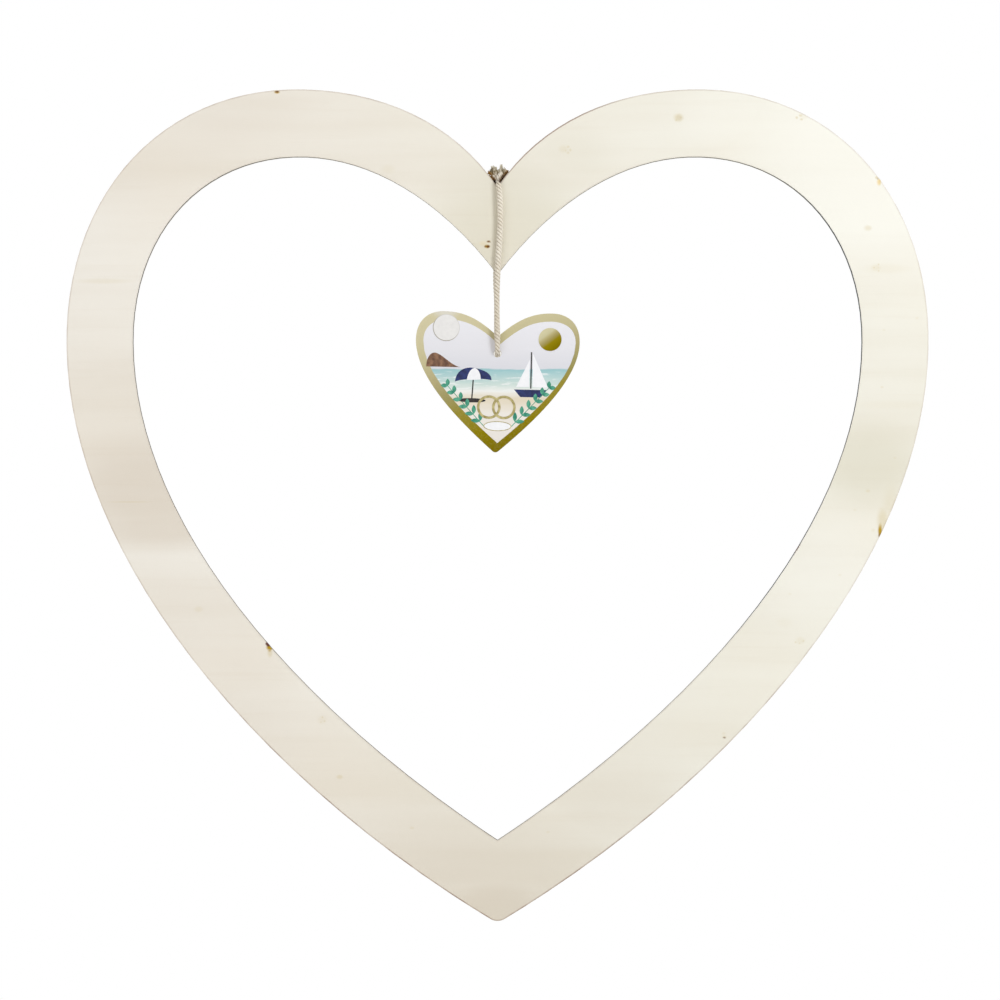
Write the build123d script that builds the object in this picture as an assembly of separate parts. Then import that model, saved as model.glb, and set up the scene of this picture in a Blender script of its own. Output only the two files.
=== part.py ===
from build123d import *
import math
import os

# Large heart cut from thin poplar plywood, with a cotton cord looped over its top notch.
# A heart-shaped card tag hangs on the loop, inside the opening.
# Millimetres. X runs to the viewer's right, the front faces -Y, +Z is up.
# The origin is the bottom of the top notch, in the middle of the plywood's thickness.

# Outer outline of the frame; drops are measured down from the lobe tops
frame_width = 800.0
frame_height = 773.9
lobe_spacing = 372.3
notch_depth = 90.5
widest_drop = 233.0
notch_slope = 55.8
tip_slope = 30.8
tip_radius = 13.0

# Opening, set in from the outer outline by the band left standing
side_band = 61.3
top_band = 62.3
bridge_height = 81.2
tip_band = 76.6
opening_lobe_spacing = 367.5
cusp_slope = 53.1
opening_tip_slope = 33.4

# How far the curves' handles reach along each span of the frame's two outlines
shoulder_fullness = 0.38
lobe_fullness = 0.585
flank_fullness = 0.376

# Three-ply sheet
face_ply = 1.2
core_ply = 2.6

# Cord loop, its knot behind the notch and its two frayed ends
cord_diameter = 6.0
cord_clearance = 0.3
notch_clearance = 1.0
bend_flat = 0.1
tag_drop = 154.5
knot_turns = 3
knot_pitch = 5.8
knot_radius = 6.4
knot_valley = 5.0
knot_rise = 8.0
cord_seat = 3.0
strand_count = 3
strand_sides = 6
strand_radius = 1.5
strand_tip_radius = 1.2
strand_shortening = 1.4
tail_spacing = 5.6
tail_lean = 8.0
tail_fan = 21.0
tail_splay = 9.0
left_tail_length = 11.6
right_tail_length = 13.2

# Card tag; drops are measured down from its lobe tops, places from its punched hole
tag_width = 152.2
tag_height = 131.4
tag_lobe_spacing = 99.8
tag_notch_depth = 22.6
tag_widest_drop = 26.6
tag_notch_slope = 42.0
tag_tip_slope = 40.6
tag_tip_radius = 4.0
tag_shoulder_fullness = 0.397
tag_lobe_fullness = 0.623
tag_flank_fullness = 0.339
hole_below_notch = 15.7
hole_clearance = 0.35
tag_board_thickness = 1.2
tag_paper_thickness = 0.2
tag_hang_angle = 1.3

# Two round stickers on the tag's printed face
sticker_thickness = 0.2
white_sticker_diameter = 25.0
white_sticker_out = 48.1
white_sticker_rise = 23.0
gold_sticker_diameter = 21.4
gold_sticker_out = 48.5
gold_sticker_rise = 14.1


def heart(width, spacing, top, widest, notch, tip, notch_angle, tip_angle, fullness):
    """A heart face: three curves from the notch over one lobe to the tip, and their mirror."""
    shoulder, lobe, flank = fullness
    notch_point = Vector(0, notch)
    lobe_point = Vector(spacing / 2, top)
    side_point = Vector(width / 2, widest)
    tip_point = Vector(0, tip)
    shoulder_reach = shoulder * (lobe_point - notch_point).length
    flank_reach = flank * (side_point - tip_point).length
    right_half = Curve() + [
        Bezier(
            notch_point,
            notch_point + Vector(1, 0).rotate(Axis.Z, notch_angle) * shoulder_reach,
            lobe_point - Vector(shoulder * lobe_point.X, 0),
            lobe_point,
        ),
        Bezier(
            lobe_point,
            lobe_point + Vector(lobe * (side_point.X - lobe_point.X), 0),
            side_point + Vector(0, lobe * (top - widest)),
            side_point,
        ),
        Bezier(
            side_point,
            side_point - Vector(0, flank * (widest - tip)),
            tip_point + Vector(1, 0).rotate(Axis.Z, tip_angle) * flank_reach,
            tip_point,
        ),
    ]
    return make_face(right_half + mirror(right_half, about=Plane.YZ))


def sheet(face, back, thickness):
    """A flat sheet of that outline: its back at y = back, its front towards the viewer."""
    return extrude(Plane.XZ.offset(-back) * face, thickness)


def rounded_tip(solid, radius):
    """Round the sheet's lowest corner."""
    lowest_edge = solid.edges().filter_by(Axis.Y).sort_by(Axis.Z)[0]
    return fillet(lowest_edge, radius)


def save(node, shape):
    export_step(shape, "parts/" + node + ".step")


os.makedirs("parts", exist_ok=True)

# Plywood frame: the same outline cut through two face plies and the core between them
ply_thickness = core_ply + 2 * face_ply
lobe_top = notch_depth
widest_z = lobe_top - widest_drop
frame_tip = lobe_top - frame_height
frame_fullness = (shoulder_fullness, lobe_fullness, flank_fullness)
frame_outline = heart(
    frame_width, lobe_spacing, lobe_top, widest_z, 0,
    frame_tip, notch_slope, tip_slope, frame_fullness,
)
opening_outline = heart(
    frame_width - 2 * side_band, opening_lobe_spacing, lobe_top - top_band, widest_z, -bridge_height,
    frame_tip + tip_band, cusp_slope, opening_tip_slope, frame_fullness,
)


def ply(back, thickness):
    """One veneer of the frame, with the opening cut through it."""
    blank = rounded_tip(sheet(frame_outline, back, thickness), tip_radius)
    return blank - sheet(opening_outline, back, thickness)


save("back_veneer", ply(ply_thickness / 2, face_ply))
save("core_veneer", ply(core_ply / 2, core_ply))
save("front_veneer", ply(-core_ply / 2, face_ply))

# Cord: from the knot over the notch, down the front, through the tag's hole and up the back
cord_radius = cord_diameter / 2
run_y = ply_thickness / 2 + cord_clearance + cord_radius
bend_radius = run_y - bend_flat
edge_sag = bend_radius - math.sqrt(bend_radius**2 - (ply_thickness / 2) ** 2)
crossing_z = (cord_radius + notch_clearance) / math.cos(math.radians(notch_slope)) + edge_sag
hole_z = -tag_drop
knot_y = ply_thickness / 2 + cord_clearance + knot_radius
knot_z = knot_rise
cord_route = [
    (0, knot_y - knot_radius + cord_seat, crossing_z),
    (0, -run_y, crossing_z),
    (0, -run_y, hole_z),
    (0, run_y, hole_z),
    (0, run_y, knot_z - knot_radius + cord_seat),
]
cord_bends = [bend_radius] * (len(cord_route) - 2)
cord_path = FilletPolyline(*cord_route, radius=cord_bends)
cord_section = Plane(cord_path @ 0, z_dir=cord_path % 0) * Circle(cord_radius)
hanging_cord = sweep(cord_section, path=cord_path)
section_times_length = math.pi * cord_radius**2 * cord_path.length
print("cord bend radii", [round(radius, 2) for radius in cord_bends], "length", round(cord_path.length, 1))
print("cord volume over section times length", round(hanging_cord.volume / section_times_length, 5))
save("hanging_cord", hanging_cord)

# Knot: the cord's turns lie side by side, across the back of the notch
knot_end = knot_turns * knot_pitch / 2
knot_profile = [(-knot_end, 0), (-knot_end, knot_valley)]
for turn in range(knot_turns):
    turn_start = turn * knot_pitch - knot_end
    knot_profile += [
        (turn_start + knot_pitch / 4, knot_radius),
        (turn_start + knot_pitch * 3 / 4, knot_radius),
        (turn_start + knot_pitch, knot_valley),
    ]
knot_profile.append((knot_end, 0))
knot = revolve(make_face(Polyline(*knot_profile, close=True)), Axis.X)
save("cord_knot", Pos(0, knot_y, knot_z) * knot)


def frayed_end(side, longest):
    """The cord's strands, opened out: they fan up and outwards, each shorter than the one inside it."""
    tail = Part()
    for strand in range(strand_count):
        length = longest - strand * strand_shortening
        root = RegularPolygon(strand_radius, strand_sides)
        tip = Pos(Z=length) * RegularPolygon(strand_tip_radius, strand_sides)
        outwards = side * (tail_lean + strand * tail_fan)
        backwards = tail_splay * (-1) ** strand
        tail += Rot(backwards, outwards, 0) * loft([root, tip], ruled=True)
    return Pos(side * tail_spacing / 2, knot_y, knot_z + knot_radius / 2) * tail


save("cord_tail_left", frayed_end(-1, left_tail_length))
save("cord_tail_right", frayed_end(1, right_tail_length))

# Tag: greyboard between a printed paper and a plain backing paper, punched for the cord
tag_notch = hole_below_notch
tag_top = tag_notch + tag_notch_depth
tag_fullness = (tag_shoulder_fullness, tag_lobe_fullness, tag_flank_fullness)
tag_outline = heart(
    tag_width, tag_lobe_spacing, tag_top, tag_top - tag_widest_drop, tag_notch,
    tag_top - tag_height, tag_notch_slope, tag_tip_slope, tag_fullness,
)
hole_outline = Circle(cord_radius + hole_clearance)
tag_place = Pos(0, 0, hole_z) * Rot(0, tag_hang_angle, 0)


def tag_layer(back, thickness):
    """One layer of the tag, with its tip rounded and the cord's hole punched through."""
    blank = rounded_tip(sheet(tag_outline, back, thickness), tag_tip_radius)
    return tag_place * (blank - sheet(hole_outline, back, thickness))


def sticker(diameter, out, rise):
    """A round sticker on the printed face, that far out from and above the hole."""
    return tag_place * sheet(Pos(out, rise) * Circle(diameter / 2), tag_front, sticker_thickness)


tag_front = -tag_board_thickness / 2 - tag_paper_thickness
save("tag_board", tag_layer(tag_board_thickness / 2, tag_board_thickness))
save("tag_print", tag_layer(-tag_board_thickness / 2, tag_paper_thickness))
save("tag_backing", tag_layer(tag_board_thickness / 2 + tag_paper_thickness, tag_paper_thickness))
save("white_sticker", sticker(white_sticker_diameter, -white_sticker_out, white_sticker_rise))
save("gold_sticker", sticker(gold_sticker_diameter, gold_sticker_out, gold_sticker_rise))
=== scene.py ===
import math
import random

import bmesh
import bpy
from mathutils import Matrix, Vector
from mathutils.kdtree import KDTree


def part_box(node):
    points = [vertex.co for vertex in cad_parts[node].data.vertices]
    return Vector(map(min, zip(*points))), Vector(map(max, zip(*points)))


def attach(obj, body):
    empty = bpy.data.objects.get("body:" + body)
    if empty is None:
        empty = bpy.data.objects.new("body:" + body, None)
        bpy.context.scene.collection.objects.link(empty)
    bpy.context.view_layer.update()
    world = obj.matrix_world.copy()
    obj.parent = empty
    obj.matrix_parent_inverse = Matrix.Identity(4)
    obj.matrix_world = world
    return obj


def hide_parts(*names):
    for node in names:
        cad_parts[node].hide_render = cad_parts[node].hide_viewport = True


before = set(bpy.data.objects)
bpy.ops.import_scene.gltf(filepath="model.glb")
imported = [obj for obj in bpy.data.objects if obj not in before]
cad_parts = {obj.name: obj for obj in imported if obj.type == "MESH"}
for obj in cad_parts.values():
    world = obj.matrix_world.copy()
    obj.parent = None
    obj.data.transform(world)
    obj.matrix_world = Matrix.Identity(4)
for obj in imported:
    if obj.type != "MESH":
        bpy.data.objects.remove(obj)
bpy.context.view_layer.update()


# Core of the plywood: a thick poplar veneer with its grain standing upright, across that of the faces.
# It is glued between the two face veneers, and only its laser-cut edge is seen, charred grey along
# the cut, with painted shade making it darkest on the right side.
def tone(red, green, blue):
    """A colour of 0 to 255 a channel, as the linear light that the shaders work with."""
    channels = [c / 255 for c in (red, green, blue)]
    return [c / 12.92 if c <= 0.04045 else ((c + 0.055) / 1.055) ** 2.4 for c in channels] + [1.0]


def bare_finish(name, roughness, specular=0.5):
    """A new material with its shader's plain values set."""
    material = bpy.data.materials.new(name)
    material.use_nodes = True
    tree = material.node_tree
    shader = tree.nodes["Principled BSDF"]
    shader.inputs["Roughness"].default_value = roughness
    shader.inputs["Specular IOR Level"].default_value = specular
    return material, tree, shader


def coat(mesh, material):
    """Give a mesh that material alone."""
    mesh.materials.clear()
    mesh.materials.append(material)


def part_coordinates(tree):
    """Places in the part's own frame, in metres."""
    return tree.nodes.new("ShaderNodeTexCoord").outputs["Object"]


def drawn_noise(tree, stretch, shift=(0, 0, 0), detail=3.0, roughness=0.5):
    """Noise drawn out along the grain: stretch is how fast it changes in each direction, per metre."""
    mapping = tree.nodes.new("ShaderNodeMapping")
    mapping.inputs["Scale"].default_value = stretch
    mapping.inputs["Location"].default_value = shift
    noise = tree.nodes.new("ShaderNodeTexNoise")
    noise.inputs["Scale"].default_value = 1.0
    noise.inputs["Detail"].default_value = detail
    noise.inputs["Roughness"].default_value = roughness
    tree.links.new(part_coordinates(tree), mapping.inputs["Vector"])
    tree.links.new(mapping.outputs["Vector"], noise.inputs["Vector"])
    return noise.outputs["Fac"]


def graded(tree, factor, stops):
    """Colours along a ramp: stops are pairs of place and colour."""
    ramp = tree.nodes.new("ShaderNodeValToRGB")
    elements = ramp.color_ramp.elements
    while len(elements) < len(stops):
        elements.new(0.5)
    for element, (place, colour) in zip(elements, stops):
        element.position = place
        element.color = colour
    tree.links.new(factor, ramp.inputs["Fac"])
    return ramp.outputs["Color"]


def ranged(tree, value, low, high, to_low, to_high):
    """A value taken from one range to another, eased at both ends."""
    node = tree.nodes.new("ShaderNodeMapRange")
    node.interpolation_type = "SMOOTHSTEP"
    for socket, number in zip(("From Min", "From Max", "To Min", "To Max"), (low, high, to_low, to_high)):
        node.inputs[socket].default_value = number
    tree.links.new(value, node.inputs["Value"])
    return node.outputs["Result"]


def reckon(tree, operation, first, second):
    node = tree.nodes.new("ShaderNodeMath")
    node.operation = operation
    for socket, value in zip(node.inputs, (first, second)):
        if isinstance(value, (int, float)):
            socket.default_value = value
        else:
            tree.links.new(value, socket)
    return node.outputs["Value"]


def laid_over(tree, factor, under, over, blend="MIX"):
    """One colour over another, as strongly as the factor says."""
    node = tree.nodes.new("ShaderNodeMix")
    node.data_type = "RGBA"
    node.blend_type = blend
    for index, value in ((0, factor), (6, under), (7, over)):
        if isinstance(value, (int, float, list)):
            node.inputs[index].default_value = value
        else:
            tree.links.new(value, node.inputs[index])
    return node.outputs[2]


def raised(tree, shader, height, strength, depth):
    bump = tree.nodes.new("ShaderNodeBump")
    bump.inputs["Strength"].default_value = strength
    bump.inputs["Distance"].default_value = depth
    tree.links.new(height, bump.inputs["Height"])
    tree.links.new(bump.outputs["Normal"], shader.inputs["Normal"])


def speckled(tree, place, spots):
    """How strongly the spots cover each place: x, z, half width and half height in mm, and strength."""
    full_within, gone_beyond = 0.25, 1.15
    cover = 0.0
    for x, z, half_width, half_height, strength in spots:
        away = tree.nodes.new("ShaderNodeVectorMath")
        away.operation = "SUBTRACT"
        away.inputs[1].default_value = (x / 1000, 0, z / 1000)
        tree.links.new(place, away.inputs[0])
        share = tree.nodes.new("ShaderNodeVectorMath")
        share.operation = "MULTIPLY"
        share.inputs[1].default_value = (1000 / half_width, 0, 1000 / half_height)
        tree.links.new(away.outputs["Vector"], share.inputs[0])
        reach = tree.nodes.new("ShaderNodeVectorMath")
        reach.operation = "LENGTH"
        tree.links.new(share.outputs["Vector"], reach.inputs[0])
        fading = ranged(tree, reach.outputs["Value"], full_within, gone_beyond, strength, 0.0)
        cover = reckon(tree, "MAXIMUM", cover, fading)
    return cover


# Places at the right of the opening where painted shade darkens the cut walls
wall_shade_places = [(330.0, -120.0, 110.0, 210.0, 0.9), (272.0, -345.0, 110.0, 140.0, 1.0)]
scorch_marks = [(277.5, -335.1, 4.6, 7.0, 1.0), (-212.8, -424.6, 3.4, 3.4, 1.0)]
scorch_red = tone(64, 14, 8)
burnt_core, tree, shader = bare_finish("burnt_core_edge", 0.8, 0.25)
end_grain = drawn_noise(tree, (420, 420, 120), detail=4, roughness=0.6)
brown_patches = drawn_noise(tree, (26, 26, 26), detail=3)
char = graded(tree, end_grain, [
    (0.25, tone(46, 47, 48)), (0.55, tone(78, 78, 77)), (0.8, tone(117, 113, 107)),
])
char = laid_over(tree, ranged(tree, brown_patches, 0.4, 0.65, 0.0, 0.55), char, tone(66, 60, 55))
# Painted shade: the cut edge bluish black at the right of the opening
wall_shade = speckled(tree, part_coordinates(tree), wall_shade_places)
char = laid_over(tree, wall_shade, char, tone(16, 24, 30))
scorched = speckled(tree, part_coordinates(tree), scorch_marks)
char = laid_over(tree, scorched, char, scorch_red)
tree.links.new(char, shader.inputs["Base Color"])
raised(tree, shader, end_grain, 0.4, 0.0003)
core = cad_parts["core_veneer"]
coat(core.data, burnt_core)


# Two face veneers of pale poplar, grain running from side to side, glued to the core and cut with it.
# The laser leaves a thin burnt rim; small knots, tan flecks and resin marks show in the front one.
opening_burn = 0.25
opening_reach = 0.006
# Width of each burnt rim in metres, and how burnt it is along its inner side
burn_rims = ((0.0006, 0.75), (0.0009, 0.0))
# Marks and shades: x, z, half width and half height in mm, and strength
front_marks = {
    "tan": [
        (168.0, 64.2, 5.4, 4.6, 0.42), (170.0, 64.4, 1.9, 1.7, 0.52), (166.0, 62.2, 1.7, 1.6, 0.46),
        (277.7, 64.3, 1.7, 1.5, 0.42), (281.4, 66.2, 2.2, 1.6, 0.4), (282.1, 62.7, 2.0, 1.3, 0.42),
        (284.0, 66.0, 5.0, 4.0, 0.14), (61.3, 35.2, 5.4, 4.4, 0.16), (65.5, 37.2, 1.8, 1.5, 0.28),
        (67.5, 34.3, 1.5, 1.8, 0.28), (65.5, 31.7, 1.8, 1.5, 0.26), (63.2, 33.8, 1.5, 1.8, 0.26),
        (343.8, -38.2, 4.4, 3.2, 0.3), (351.4, -75.2, 7.0, 4.0, 0.22), (349.4, -75.0, 1.5, 1.4, 0.42),
        (353.6, -72.1, 1.3, 1.2, 0.36), (353.5, -75.2, 1.2, 1.2, 0.32), (353.6, -77.9, 1.3, 1.2, 0.38),
        (360.0, -76.0, 26.0, 6.0, 0.09), (389.3, -121.7, 2.0, 1.6, 0.12), (358.6, -132.8, 1.9, 1.4, 0.12),
        (356.8, -185.7, 1.8, 1.3, 0.2), (368.8, -251.6, 1.8, 1.3, 0.15), (343.8, -282.2, 2.6, 1.8, 0.24),
        (331.7, -299.8, 2.0, 1.4, 0.12), (271.4, -377.8, 2.0, 1.4, 0.1), (317.8, -360.2, 2.0, 1.4, 0.12),
        (276.6, -422.6, 1.3, 1.2, 0.3), (280.4, -423.5, 1.2, 1.2, 0.3), (283.7, -421.4, 1.4, 1.3, 0.34),
        (281.0, -421.0, 5.4, 4.4, 0.14), (266.5, -404.5, 9.0, 6.0, 0.05), (46.8, -598.7, 2.2, 1.4, 0.14),
        (-277.4, -392.0, 5.0, 3.4, 0.16), (-162.5, -492.2, 1.3, 1.3, 0.34), (-160.5, -495.8, 1.3, 1.2, 0.36),
        (-163.8, -496.8, 1.2, 1.2, 0.3), (-162.6, -494.6, 5.6, 4.8, 0.12), (-146.4, -547.6, 3.8, 2.6, 0.3),
        (-79.4, -594.9, 2.6, 1.7, 0.2), (-341.5, -292.4, 24.0, 0.9, 0.2), (-101.6, 16.5, 8.0, 5.0, 0.1),
        (348.5, -318.6, 2.2, 2.2, 0.14), (365.0, -300.0, 9.0, 26.0, 0.14), (210.0, -507.2, 2.4, 1.8, 0.14),
        (-211.2, -432.6, 3.0, 5.0, 0.36), (365.5, -202.4, 46.0, 5.0, 0.05), (-365.2, -87.4, 30.0, 3.2, 0.14),
        (351.8, 8.6, 1.8, 1.6, 0.5), (354.8, 5.0, 1.6, 4.5, 0.4), (210.5, -510.6, 2.4, 1.8, 0.3),
        (357.6, -309.6, 6.5, 14.0, 0.38), (355.4, -314.7, 2.8, 6.0, 0.55),
    ],
    "yellow": [
        (353.8, 4.6, 2.4, 4.2, 0.5), (-13.0, -52.6, 5.0, 3.0, 0.14), (-204.7, 88.0, 3.2, 2.0, 0.4),
    ],
    "gold": [
        (-9.7, -55.3, 3.2, 2.1, 0.95), (-8.3, -50.7, 2.2, 1.4, 0.6), (355.0, -319.6, 2.3, 7.2, 1.0),
        (-211.9, -427.5, 3.2, 3.1, 1.0), (-210.6, -428.5, 2.2, 1.9, 1.0), (-211.5, -429.8, 2.0, 2.2, 0.6),
        (-204.7, 87.8, 3.0, 1.6, 0.8),
    ],
    "brown": [
        (-8.8, -55.3, 2.1, 1.7, 0.92), (-10.9, -55.3, 1.8, 1.4, 0.62), (-8.3, -50.7, 2.0, 1.1, 0.82),
        (-9.0, -50.2, 1.0, 0.7, 0.4), (-6.9, -51.3, 1.1, 0.7, 0.35), (-204.6, 88.2, 2.5, 1.1, 0.9),
        (354.5, -323.4, 1.6, 3.0, 0.5), (-213.8, -424.1, 2.3, 1.9, 1.0), (-212.9, -425.3, 2.2, 1.8, 1.0),
        (210.5, -511.1, 1.7, 1.1, 0.65), (352.8, 7.4, 1.2, 1.2, 0.3), (168.6, 64.2, 4.6, 3.8, 0.05),
        (274.6, -340.8, 1.0, 1.5, 0.6), (276.0, -338.6, 1.1, 1.6, 0.8), (277.5, -336.4, 1.2, 1.7, 0.9),
        (279.0, -334.2, 1.1, 1.6, 0.8), (280.4, -332.0, 1.0, 1.5, 0.6),
    ],
}
# Broad paler and darker patches: partly the wood's own tone, partly painted light and shade, paler at the
# upper right and darker at the left and towards the tip
front_shades = {
    "dark": [
        (-322.0, -278.0, 100.0, 61.0, 0.4), (-312.0, -316.0, 85.0, 26.0, 0.36),
        (0.0, -660.0, 200.0, 110.0, 0.38), (0.0, -672.0, 80.0, 45.0, 0.58),
        (112.0, -580.0, 95.0, 60.0, 0.22), (-240.0, 72.0, 80.0, 30.0, 0.14),
        (-330.0, -170.0, 90.0, 20.0, 0.08), (-235.0, -470.0, 60.0, 50.0, 0.1),
    ],
    "olive": [
        (8.0, -38.0, 100.0, 72.0, 0.36), (345.0, -258.0, 62.0, 48.0, 0.31),
        (70.0, 30.0, 45.0, 30.0, 0.12), (-18.0, -62.0, 30.0, 25.0, 0.42),
    ],
    "pale": [
        (340.0, 15.0, 150.0, 130.0, 0.6), (375.0, -120.0, 60.0, 80.0, 0.1),
        (305.0, -352.0, 90.0, 62.0, 0.4), (215.0, 66.0, 60.0, 40.0, 0.28),
    ],
}


def part_axes(tree):
    """X, Y and Z in the part's own frame."""
    split = tree.nodes.new("ShaderNodeSeparateXYZ")
    tree.links.new(part_coordinates(tree), split.inputs["Vector"])
    return split.outputs


def own_attribute(tree, name):
    """A number kept at the mesh's own vertices."""
    kept = tree.nodes.new("ShaderNodeAttribute")
    kept.attribute_name = name
    return kept.outputs["Fac"]


def poplar(name, shift, marks, shades):
    """Pale poplar with soft bands and fine fibres along X, its marks, the laser's burn at the rim, and
    painted shade on its cut walls at the right.
    """
    material, tree, shader = bare_finish(name, 0.62, 0.3)
    bands = drawn_noise(tree, (1.1, 1.0, 12.0), shift, detail=3, roughness=0.55)
    clouds = drawn_noise(tree, (4.0, 1.0, 6.0), shift, detail=2)
    streaks = drawn_noise(tree, (7.0, 1.0, 160.0), shift, detail=4, roughness=0.6)
    fibres = drawn_noise(tree, (40.0, 1.0, 1500.0), shift, detail=3, roughness=0.6)
    wood = graded(tree, bands, [
        (0.3, tone(231, 224, 208)), (0.5, tone(238, 233, 220)), (0.7, tone(244, 241, 230)),
    ])
    wood = laid_over(tree, ranged(tree, clouds, 0.42, 0.68, 0.0, 0.4), wood, tone(239, 231, 214))
    wood = laid_over(tree, ranged(tree, streaks, 0.5, 0.75, 0.0, 0.14), wood, tone(224, 214, 194))
    wood = laid_over(tree, ranged(tree, fibres, 0.6, 0.78, 0.0, 0.16), wood, tone(216, 205, 185))
    shade_colours = {
        "pale": tone(250, 247, 238), "dark": tone(209, 196, 176), "olive": tone(205, 199, 172),
    }
    for kind, colour in shade_colours.items():
        wood = laid_over(tree, speckled(tree, part_coordinates(tree), shades[kind]), wood, colour)
    drift = ranged(tree, part_axes(tree)["X"], -0.32, 0.32, 0.0, 1.0)
    cast = graded(tree, drift, [
        (0.0, (1.0, 0.984, 1.0, 1)), (0.5, (1.0, 1.0, 1.005, 1)), (1.0, (0.992, 1.007, 1.012, 1)),
    ])
    wood = laid_over(tree, 1.0, wood, cast, "MULTIPLY")
    wander_reach = 0.0008
    wander = tree.nodes.new("ShaderNodeTexNoise")
    wander.inputs["Scale"].default_value = 420.0
    tree.links.new(part_coordinates(tree), wander.inputs["Vector"])
    stray = tree.nodes.new("ShaderNodeVectorMath")
    stray.operation = "MULTIPLY_ADD"
    stray.inputs[1].default_value = (wander_reach, 0.0, wander_reach)
    tree.links.new(wander.outputs["Color"], stray.inputs[0])
    tree.links.new(part_coordinates(tree), stray.inputs[2])
    centred = tree.nodes.new("ShaderNodeVectorMath")
    centred.operation = "SUBTRACT"
    centred.inputs[1].default_value = (wander_reach / 2, 0.0, wander_reach / 2)
    tree.links.new(stray.outputs["Vector"], centred.inputs[0])
    stain_colours = {
        "tan": tone(206, 186, 124), "yellow": tone(238, 198, 74),
        "gold": tone(182, 146, 0), "brown": tone(92, 34, 0),
    }
    for kind, colour in stain_colours.items():
        wood = laid_over(tree, speckled(tree, centred.outputs["Vector"], marks[kind]), wood, colour)
    patchy = ranged(tree, drawn_noise(tree, (60, 60, 60), shift, detail=3), 0.35, 0.65, 0.45, 1.0)
    burn_places = [(0.0, -620.0, 460.0, 420.0, 0.95), (-150.0, -150.0, 900.0, 900.0, 0.42)]
    notch_side = [(56.0, 44.0, 100.0, 90.0, 1.0)]
    scorched = reckon(tree, "MULTIPLY", patchy, speckled(tree, part_coordinates(tree), burn_places))
    scorched = reckon(tree, "MAXIMUM", scorched, speckled(tree, part_coordinates(tree), notch_side))
    scorched = reckon(tree, "MULTIPLY", scorched, own_attribute(tree, "burn"))
    wood = laid_over(tree, scorched, wood, tone(134, 102, 82))
    turned = tree.nodes.new("ShaderNodeSeparateXYZ")
    tree.links.new(tree.nodes.new("ShaderNodeNewGeometry").outputs["True Normal"], turned.inputs["Vector"])
    cut_wall = ranged(tree, reckon(tree, "ABSOLUTE", turned.outputs["Y"], 0.0), 0.3, 0.7, 1.0, 0.0)
    # Painted shade: bluish dark grey on the cut walls at the right of the opening
    wall_shade = reckon(tree, "MULTIPLY", cut_wall, speckled(tree, part_coordinates(tree), wall_shade_places))
    wood = laid_over(tree, wall_shade, wood, tone(40, 52, 60))
    scorched = reckon(tree, "MULTIPLY", cut_wall, speckled(tree, part_coordinates(tree), scorch_marks))
    wood = laid_over(tree, scorched, wood, scorch_red)
    tree.links.new(wood, shader.inputs["Base Color"])
    raised(tree, shader, reckon(tree, "ADD", fibres, streaks), 0.06, 0.0002)
    return material


def put_in_scene(name, data):
    """A new object of that data, at the origin."""
    made = bpy.data.objects.new(name, data)
    bpy.context.scene.collection.objects.link(made)
    return made


def burnt_rim_veneer(node, facing, material):
    """The veneer of that node, with narrow rims drawn round its outer face for the laser's burn."""
    veneer = bpy.data.meshes.new(node + "_cut")
    bm = bmesh.new()
    bm.from_mesh(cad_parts[node].data)
    bmesh.ops.remove_doubles(bm, verts=bm.verts, dist=1e-6)
    burn = bm.verts.layers.float.new("burn")
    flat = [face for face in bm.faces if face.normal.y * facing > 0.99]
    rim = {edge for edge in bm.edges if sum(face in flat for face in edge.link_faces) == 1}
    outside = set()
    to_follow = [max((vert for edge in rim for vert in edge.verts), key=lambda vert: vert.co.x)]
    while to_follow:
        vert = to_follow.pop()
        outside.add(vert)
        for edge in vert.link_edges:
            if edge in rim and edge.other_vert(vert) not in outside:
                to_follow.append(edge.other_vert(vert))
    opening = [vert.co.copy() for vert in {vert for edge in rim for vert in edge.verts} - outside]
    nearest = KDTree(len(opening))
    for index, place in enumerate(opening):
        nearest.insert(place, index)
    nearest.balance()

    def burn_at(vert):
        return 1.0 if nearest.find(vert.co)[2] > opening_reach else opening_burn

    for vert in bm.verts:
        vert[burn] = burn_at(vert)
    for width, burnt in burn_rims:
        bmesh.ops.inset_region(bm, faces=flat, thickness=width, use_boundary=True, use_even_offset=True)
        for vert in {vert for face in flat for vert in face.verts}:
            vert[burn] = burnt * burn_at(vert)
    bm.to_mesh(veneer)
    bm.free()
    coat(veneer, material)
    piece = put_in_scene(node + "_cut", veneer)
    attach(piece, "frame")
    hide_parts(node)


back_marks = {
    "tan": [
        (-262.0, 43.0, 4.6, 3.4, 0.5), (-371.0, -160.0, 3.0, 2.0, 0.35), (120.0, -545.0, 3.4, 2.0, 0.35),
        (214.0, 52.0, 5.0, 2.4, 0.25), (-190.0, -470.0, 2.6, 1.8, 0.35),
    ],
    "yellow": [(301.0, -352.0, 4.0, 2.8, 0.4)],
    "gold": [(-262.2, 43.8, 2.6, 2.0, 0.8)],
    "brown": [(-262.0, 44.0, 1.8, 1.4, 0.8), (301.0, -352.0, 1.8, 1.3, 0.7)],
}
back_shades = {
    "dark": [(330.0, -120.0, 110.0, 40.0, 0.4), (30.0, -620.0, 120.0, 30.0, 0.3)],
    "olive": [(-210.0, -440.0, 120.0, 40.0, 0.35)],
    "pale": [(-300.0, -20.0, 150.0, 90.0, 0.4)],
}
front_wood = poplar("front_poplar", (0, 0, 0), front_marks, front_shades)
back_wood = poplar("back_poplar", (3.1, 0, 7.7), back_marks, back_shades)
burnt_rim_veneer("front_veneer", -1, front_wood)
burnt_rim_veneer("back_veneer", 1, back_wood)


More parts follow.
